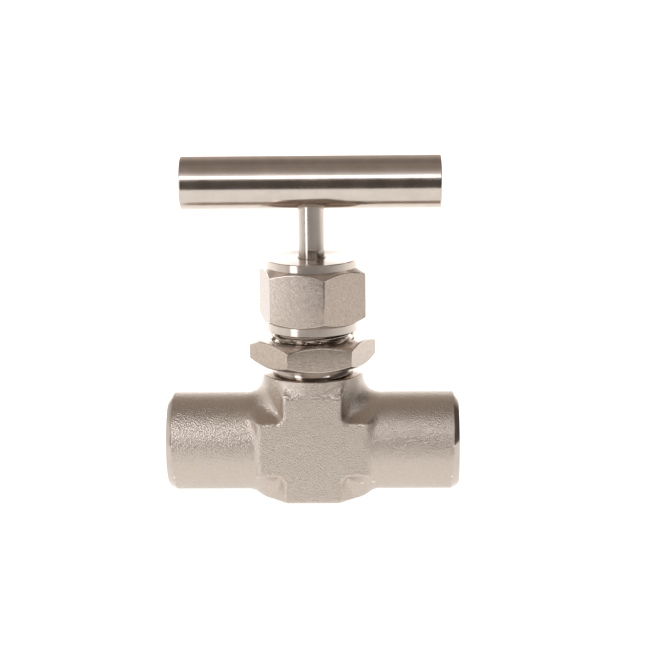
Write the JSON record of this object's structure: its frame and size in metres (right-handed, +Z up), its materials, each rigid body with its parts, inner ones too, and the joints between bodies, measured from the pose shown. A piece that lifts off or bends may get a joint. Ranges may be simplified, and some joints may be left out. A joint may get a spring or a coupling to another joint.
{
  "type": "needle valve",
  "caption": "Straight stainless needle valve with a forged body, female threaded ports, a packed screw stem, a panel nut and a T-bar handle.",
  "frame": {"origin": "centre of the flat bottom of the body, on the stem axis", "axes": "+X along the ports towards the outlet, +Y towards the back, where the set screw is, +Z up along the stem"},
  "size_m": [0.0582, 0.0236, 0.0689],
  "materials": {
    "forged_steel": "blasted stainless forging, satin and finely pitted",
    "turned_steel": "machined stainless, semi-bright with fine turning marks",
    "bar_steel": "stainless bar, bright with a fine grain round it",
    "screw_steel": "dark stainless",
    "packing_polymer": "white fluoropolymer, waxy"
  },
  "bodies": {
    "body": {"valve_body": "forged_steel", "backing_washer": "turned_steel", "packing_ring_1": "packing_polymer", "packing_ring_2": "packing_polymer", "packing_ring_3": "packing_polymer"},
    "needle": {"needle_tip": "turned_steel"},
    "stem": {"stem": "turned_steel", "handle_bar": "bar_steel", "handle_set_screw": "screw_steel"},
    "gland": {"packing_gland": "turned_steel"},
    "packing_nut": {"packing_nut": "turned_steel"},
    "panel_nut": {"panel_nut": "turned_steel"}
  },
  "joints": [
    {"name": "needle_lift", "type": "slide", "parent": "body", "child": "needle", "axis": [0, 0, 1], "range_m": [0, 0.0045]},
    {"name": "stem_turn", "type": "hinge", "parent": "needle", "child": "stem", "pos_m": [0, 0, 0.0636], "axis": [0, 0, 1], "range_deg": [0, 1620]},
    {"name": "gland_lift", "type": "slide", "parent": "body", "child": "gland", "axis": [0, 0, 1], "range_m": [0, 0.0075]},
    {"name": "packing_nut_turn", "type": "hinge", "parent": "gland", "child": "packing_nut", "pos_m": [0, 0, 0.0413], "axis": [0, 0, 1], "range_deg": [0, 1800]},
    {"name": "panel_nut_turn", "type": "hinge", "parent": "body", "child": "panel_nut", "pos_m": [0, 0, 0.03], "axis": [0, 0, 1], "range_deg": [-396, 396]}
  ],
  "couplings": [
    {"joint": "stem_turn", "follows": "needle_lift", "rad_per_m": 6283.2},
    {"joint": "packing_nut_turn", "follows": "gland_lift", "rad_per_m": 4188.8}
  ]
}
